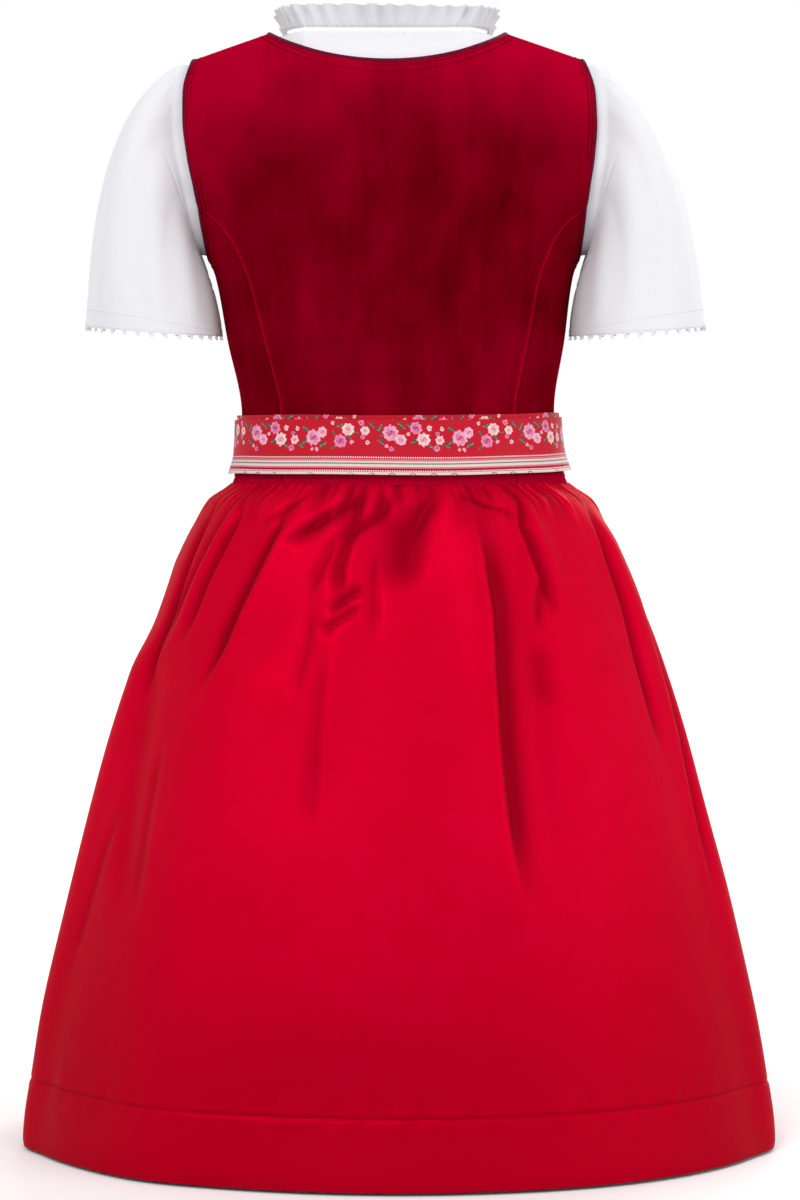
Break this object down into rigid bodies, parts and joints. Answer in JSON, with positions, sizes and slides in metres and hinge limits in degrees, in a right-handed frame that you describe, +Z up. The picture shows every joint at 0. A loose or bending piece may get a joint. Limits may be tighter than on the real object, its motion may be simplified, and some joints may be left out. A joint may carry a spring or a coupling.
{
  "type": "girl's dirndl with blouse and apron",
  "caption": "Child's folk dress set, filled out and hollow: velvet bodice, gathered satin skirt, short flared-sleeve blouse, apron tied over the back.",
  "frame": {"origin": "between the shoulders at the height of the neck points, where the wearer's shoulders hold the dress", "axes": "+Z up, -Y towards the garment's front, +X towards the wearer's left"},
  "size_m": [0.5397, 0.4016, 0.8082],
  "materials": {
    "velvet": "crimson velvet, dark with bright magenta sheen",
    "binding": "narrow dark velvet binding",
    "button": "plain dark red buttons",
    "cotton": "white cotton, matte",
    "lace": "white picot lace",
    "satin": "bright red satin, soft sheen",
    "flowered_satin": "red satin printed with roses and stripes"
  },
  "bodies": {
    "root": {"bodice_back": "velvet", "bodice_front_left": "velvet", "bodice_front_right": "velvet", "bodice_side_left": "velvet", "bodice_side_right": "velvet", "neck_binding": "binding", "armhole_binding_left": "binding", "armhole_binding_right": "binding", "button_1": "button", "button_2": "button", "button_3": "button", "button_4": "button", "button_5": "button", "button_6": "button", "blouse_back": "cotton", "blouse_front": "cotton", "collar_ruffle": "cotton", "sleeve_left": "cotton", "sleeve_right": "cotton", "lace_left": "lace", "lace_right": "lace", "skirt_back": "satin", "skirt_front": "satin", "apron_panel": "satin", "apron_waistband": "flowered_satin", "tie_inner": "flowered_satin", "tie_outer": "flowered_satin", "tie_end_left": "flowered_satin", "tie_end_right": "flowered_satin", "tie_knot": "flowered_satin"}
  },
  "joints": []
}
